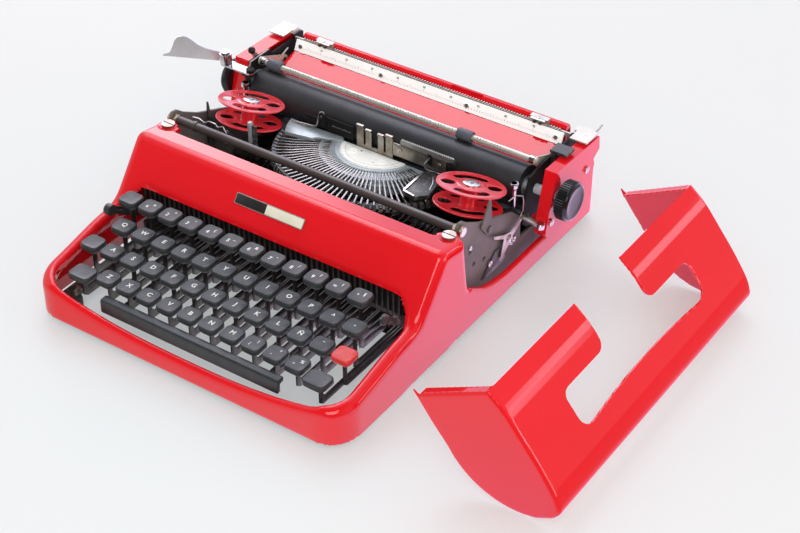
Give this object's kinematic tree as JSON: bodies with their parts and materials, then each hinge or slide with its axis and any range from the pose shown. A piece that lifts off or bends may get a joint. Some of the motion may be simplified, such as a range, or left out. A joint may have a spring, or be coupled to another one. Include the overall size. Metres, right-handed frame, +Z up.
{
  "type": "manual typewriter",
  "caption": "Low portable typewriter with open type basket, key rows, ribbon spools, wide carriage, and its ribbon cover lying beside it",
  "frame": {"origin": "the middle of the plane the feet stand on, half way between the housing's front and rear faces and its two sides", "axes": "+X to the typist's right along the platen, +Y away from the typist, +Z up"},
  "size_m": [0.5012, 0.35, 0.108],
  "materials": {
    "red_paint": "glossy red stoving enamel, lightly worn",
    "dark_enamel": "black enamel, slightly worn",
    "bright_steel": "ground and nickel plated steel",
    "dull_steel": "zinc and oil darkened steel with light rust",
    "chrome_plate": "polished chrome plate",
    "cast_aluminium": "machined casting",
    "key_plastic": "dark grey plastic with light legends",
    "red_plastic": "red plastic keytop",
    "platen_rubber": "hard black rubber",
    "roller_rubber": "blue grey rubber",
    "foot_rubber": "black rubber",
    "knob_plastic": "black plastic",
    "scale_enamel": "white enamel with a fine black scale",
    "plate_metal": "cream and black lacquered plate, bare of lettering",
    "bell_metal": "spun brass"
  },
  "bodies": {
    "body_frame": {"housing": "red_paint", "nameplate": "plate_metal", "housing_screws": "bright_steel", "rubber_feet": "foot_rubber", "side_frames": "dull_steel", "base_frame": "dark_enamel", "front_tie_rod": "dull_steel", "key_comb": "dull_steel", "key_lever_rod": "dull_steel", "spool_decks": "dark_enamel", "card_scale": "bright_steel", "carriage_rails": "dull_steel", "bell": "bell_metal"},
    "type_basket": {"segment": "cast_aluminium", "segment_face": "cast_aluminium", "type_rest": "dark_enamel", "typebars": "bright_steel"},
    "carriage": {"carriage_frame": "dull_steel", "end_covers": "red_paint", "rear_bar": "red_paint", "paper_table": "red_paint", "paper_scale": "scale_enamel", "margin_rack": "bright_steel"},
    "platen_roll": {"platen": "platen_rubber", "platen_shaft": "cast_aluminium", "platen_knobs": "knob_plastic"},
    "struck_typebar_body": {"struck_typebar": "bright_steel"},
    "ribbon_vibrator_body": {"ribbon_vibrator": "bright_steel"},
    "number_row_keys_body": {"number_row_keys": "key_plastic"},
    "top_row_keys_body": {"top_row_keys": "key_plastic"},
    "home_row_keys_body": {"home_row_keys": "key_plastic"},
    "bottom_row_keys_body": {"bottom_row_keys": "key_plastic"},
    "margin_release_key_body": {"margin_release_key": "key_plastic"},
    "backspace_key_body": {"backspace_key": "key_plastic"},
    "shift_lock_key_body": {"shift_lock_key": "key_plastic"},
    "tab_key_body": {"tab_key": "red_plastic"},
    "letter_g_key_body": {"letter_g_key": "key_plastic"},
    "left_shift_key_body": {"left_shift_key": "key_plastic"},
    "right_shift_key_body": {"right_shift_key": "key_plastic"},
    "space_bar_body": {"space_bar": "key_plastic"},
    "colour_selector_body": {"colour_selector": "dark_enamel"},
    "tab_set_lever_body": {"tab_set_lever": "dark_enamel"},
    "left_ribbon_lever_body": {"left_ribbon_lever": "dark_enamel"},
    "right_ribbon_lever_body": {"right_ribbon_lever": "bright_steel"},
    "left_spool_body": {"left_spool": "red_paint"},
    "right_spool_body": {"right_spool": "red_paint"},
    "mainspring_drum_body": {"mainspring_drum": "dull_steel"},
    "escapement_wheel_body": {"escapement_wheel": "dull_steel"},
    "left_margin_stop_body": {"left_margin_stop": "bright_steel"},
    "right_margin_stop_body": {"right_margin_stop": "bright_steel"},
    "feed_rollers_body": {"feed_rollers": "roller_rubber"},
    "paper_bail_body": {"paper_bail": "bright_steel"},
    "bail_rollers_body": {"bail_rollers": "roller_rubber"},
    "paper_release_lever_body": {"paper_release_lever": "dark_enamel"},
    "left_release_tab_body": {"left_release_tab": "bright_steel"},
    "right_release_tab_body": {"right_release_tab": "bright_steel"},
    "line_space_lever_body": {"line_space_lever": "bright_steel"},
    "return_arm_body": {"return_arm": "chrome_plate"},
    "return_paddle_body": {"return_paddle": "chrome_plate"},
    "ribbon_cover_body": {"ribbon_cover": "red_paint"}
  },
  "joints": [
    {"name": "number_row_keys_press", "type": "hinge", "parent": "body_frame", "child": "number_row_keys_body", "pos_m": [0, 0.057, 0.023], "axis": [1, 0, 0], "range_deg": [0, 3.4], "stiffness_Nm_per_rad": 6, "springref_deg": -5.73},
    {"name": "top_row_keys_press", "type": "hinge", "parent": "body_frame", "child": "top_row_keys_body", "pos_m": [0, 0.057, 0.023], "axis": [1, 0, 0], "range_deg": [0, 3.2], "stiffness_Nm_per_rad": 6, "springref_deg": -5.73},
    {"name": "home_row_keys_press", "type": "hinge", "parent": "body_frame", "child": "home_row_keys_body", "pos_m": [0, 0.057, 0.023], "axis": [1, 0, 0], "range_deg": [0, 3], "stiffness_Nm_per_rad": 6, "springref_deg": -5.73},
    {"name": "bottom_row_keys_press", "type": "hinge", "parent": "body_frame", "child": "bottom_row_keys_body", "pos_m": [0, 0.057, 0.023], "axis": [1, 0, 0], "range_deg": [0, 2.4], "stiffness_Nm_per_rad": 6, "springref_deg": -5.73},
    {"name": "margin_release_key_press", "type": "hinge", "parent": "body_frame", "child": "margin_release_key_body", "pos_m": [0, 0.057, 0.023], "axis": [1, 0, 0], "range_deg": [0, 3.4], "stiffness_Nm_per_rad": 1, "springref_deg": -5.73},
    {"name": "backspace_key_press", "type": "hinge", "parent": "body_frame", "child": "backspace_key_body", "pos_m": [0, 0.057, 0.023], "axis": [1, 0, 0], "range_deg": [0, 3.2], "stiffness_Nm_per_rad": 1, "springref_deg": -5.73},
    {"name": "shift_lock_key_press", "type": "hinge", "parent": "body_frame", "child": "shift_lock_key_body", "pos_m": [0, 0.057, 0.023], "axis": [1, 0, 0], "range_deg": [0, 3], "stiffness_Nm_per_rad": 1, "springref_deg": -5.73},
    {"name": "tab_key_press", "type": "hinge", "parent": "body_frame", "child": "tab_key_body", "pos_m": [0, 0.057, 0.023], "axis": [1, 0, 0], "range_deg": [0, 3], "stiffness_Nm_per_rad": 1, "springref_deg": -5.73},
    {"name": "letter_g_key_press", "type": "hinge", "parent": "body_frame", "child": "letter_g_key_body", "pos_m": [0, 0.057, 0.023], "axis": [1, 0, 0], "range_deg": [0, 3], "stiffness_Nm_per_rad": 1, "springref_deg": -5.73},
    {"name": "space_bar_press", "type": "hinge", "parent": "body_frame", "child": "space_bar_body", "pos_m": [0, 0.057, 0.023], "axis": [1, 0, 0], "range_deg": [0, 2], "stiffness_Nm_per_rad": 2, "springref_deg": -5.73},
    {"name": "left_shift_press", "type": "hinge", "parent": "body_frame", "child": "left_shift_key_body", "pos_m": [0, 0.057, 0.023], "axis": [1, 0, 0], "range_deg": [0, 2.6], "stiffness_Nm_per_rad": 3, "springref_deg": -11.46},
    {"name": "right_shift_press", "type": "hinge", "parent": "body_frame", "child": "right_shift_key_body", "pos_m": [0, 0.057, 0.023], "axis": [1, 0, 0], "range_deg": [0, 2.6], "stiffness_Nm_per_rad": 3, "springref_deg": -11.46},
    {"name": "basket_shift", "type": "slide", "parent": "body_frame", "child": "type_basket", "axis": [0, 0, 1], "range_m": [-0.006, 0]},
    {"name": "type_strike", "type": "hinge", "parent": "type_basket", "child": "struck_typebar_body", "pos_m": [0, 0.03572, 0.06418], "axis": [-1, 0, 0], "range_deg": [0, 152]},
    {"name": "vibrator_lift", "type": "slide", "parent": "body_frame", "child": "ribbon_vibrator_body", "axis": [0, 0, 1], "range_m": [0, 0.008]},
    {"name": "selector_turn", "type": "hinge", "parent": "body_frame", "child": "colour_selector_body", "pos_m": [0.1228, -0.065, 0.04], "axis": [1, 0, 0], "range_deg": [-4, 4]},
    {"name": "tab_set_turn", "type": "hinge", "parent": "body_frame", "child": "tab_set_lever_body", "pos_m": [-0.1228, -0.071, 0.04], "axis": [1, 0, 0], "range_deg": [-4, 4]},
    {"name": "left_ribbon_tip", "type": "hinge", "parent": "body_frame", "child": "left_ribbon_lever_body", "pos_m": [-0.1253, 0.025, 0.052], "axis": [0, 1, 0], "range_deg": [-3, 3]},
    {"name": "right_ribbon_tip", "type": "hinge", "parent": "body_frame", "child": "right_ribbon_lever_body", "pos_m": [0.133, 0.0269, 0.0692], "axis": [1, 0, 0], "range_deg": [-3, 3]},
    {"name": "left_spool_turn", "type": "hinge", "parent": "body_frame", "child": "left_spool_body", "pos_m": [-0.103, 0.045, 0.068], "axis": [0, 0.2924, 0.9563], "continuous": true},
    {"name": "right_spool_turn", "type": "hinge", "parent": "body_frame", "child": "right_spool_body", "pos_m": [0.103, 0.045, 0.068], "axis": [0, 0.2924, 0.9563], "continuous": true},
    {"name": "carriage_travel", "type": "slide", "parent": "body_frame", "child": "carriage", "axis": [1, 0, 0], "range_m": [-0.11, 0.03]},
    {"name": "spring_drum_turn", "type": "hinge", "parent": "body_frame", "child": "mainspring_drum_body", "pos_m": [-0.095, 0.121, 0.014], "axis": [0, 0, 1], "range_deg": [-360, 360]},
    {"name": "escapement_turn", "type": "hinge", "parent": "body_frame", "child": "escapement_wheel_body", "pos_m": [0, 0.118, 0.02], "axis": [0, 0, 1], "range_deg": [-1300, 1300]},
    {"name": "platen_turn", "type": "hinge", "parent": "carriage", "child": "platen_roll", "pos_m": [0, 0.0915, 0.069], "axis": [1, 0, 0], "continuous": true},
    {"name": "feed_turn", "type": "hinge", "parent": "carriage", "child": "feed_rollers_body", "pos_m": [0, 0.0825, 0.0487], "axis": [1, 0, 0], "continuous": true},
    {"name": "bail_lift", "type": "hinge", "parent": "carriage", "child": "paper_bail_body", "pos_m": [0, 0.127, 0.076], "axis": [1, 0, 0], "range_deg": [-65, 0]},
    {"name": "bail_rollers_turn", "type": "hinge", "parent": "paper_bail_body", "child": "bail_rollers_body", "pos_m": [0, 0.0973, 0.0889], "axis": [1, 0, 0], "continuous": true},
    {"name": "paper_release_pull", "type": "hinge", "parent": "carriage", "child": "paper_release_lever_body", "pos_m": [0.135, 0.116, 0.052], "axis": [1, 0, 0], "range_deg": [0, 8]},
    {"name": "left_release_press", "type": "hinge", "parent": "carriage", "child": "left_release_tab_body", "pos_m": [-0.135, 0.155, 0.086], "axis": [1, 0, 0], "range_deg": [0, 4], "stiffness_Nm_per_rad": 0.3, "springref_deg": -8.59},
    {"name": "right_release_press", "type": "hinge", "parent": "carriage", "child": "right_release_tab_body", "pos_m": [0.135, 0.155, 0.086], "axis": [1, 0, 0], "range_deg": [0, 4], "stiffness_Nm_per_rad": 0.3, "springref_deg": -8.59},
    {"name": "left_margin_slide", "type": "slide", "parent": "carriage", "child": "left_margin_stop_body", "axis": [1, 0, 0], "range_m": [-0.017, 0.09]},
    {"name": "right_margin_slide", "type": "slide", "parent": "carriage", "child": "right_margin_stop_body", "axis": [1, 0, 0], "range_m": [-0.095, 0.014]},
    {"name": "line_space_turn", "type": "hinge", "parent": "carriage", "child": "line_space_lever_body", "pos_m": [-0.135, 0.115, 0.062], "axis": [1, 0, 0], "range_deg": [-10, 0]},
    {"name": "return_arm_swing", "type": "hinge", "parent": "carriage", "child": "return_arm_body", "pos_m": [-0.1284, 0.081, 0.087], "axis": [0, 0, 1], "range_deg": [0, 25], "stiffness_Nm_per_rad": 0.2, "springref_deg": -17.19},
    {"name": "return_paddle_fold", "type": "hinge", "parent": "return_arm_body", "child": "return_paddle_body", "pos_m": [-0.1535, 0.081, 0.092], "axis": [0, 0, -1], "range_deg": [-80, 0]},
    {"name": "cover_lift", "type": "slide", "parent": "body_frame", "child": "ribbon_cover_body", "axis": [0, 0, 1], "range_m": [0, 0.12]}
  ],
  "couplings": [
    {"joint": "right_shift_press", "follows": "left_shift_press", "ratio": 1},
    {"joint": "basket_shift", "follows": "left_shift_press", "m_per_rad": -0.13222},
    {"joint": "type_strike", "follows": "letter_g_key_press", "ratio": 50.667},
    {"joint": "vibrator_lift", "follows": "letter_g_key_press", "m_per_rad": 0.15279},
    {"joint": "right_ribbon_tip", "follows": "left_ribbon_tip", "ratio": 1},
    {"joint": "feed_turn", "follows": "platen_turn", "ratio": -2.7586},
    {"joint": "spring_drum_turn", "follows": "carriage_travel", "rad_per_m": 50},
    {"joint": "escapement_turn", "follows": "carriage_travel", "rad_per_m": 200}
  ]
}
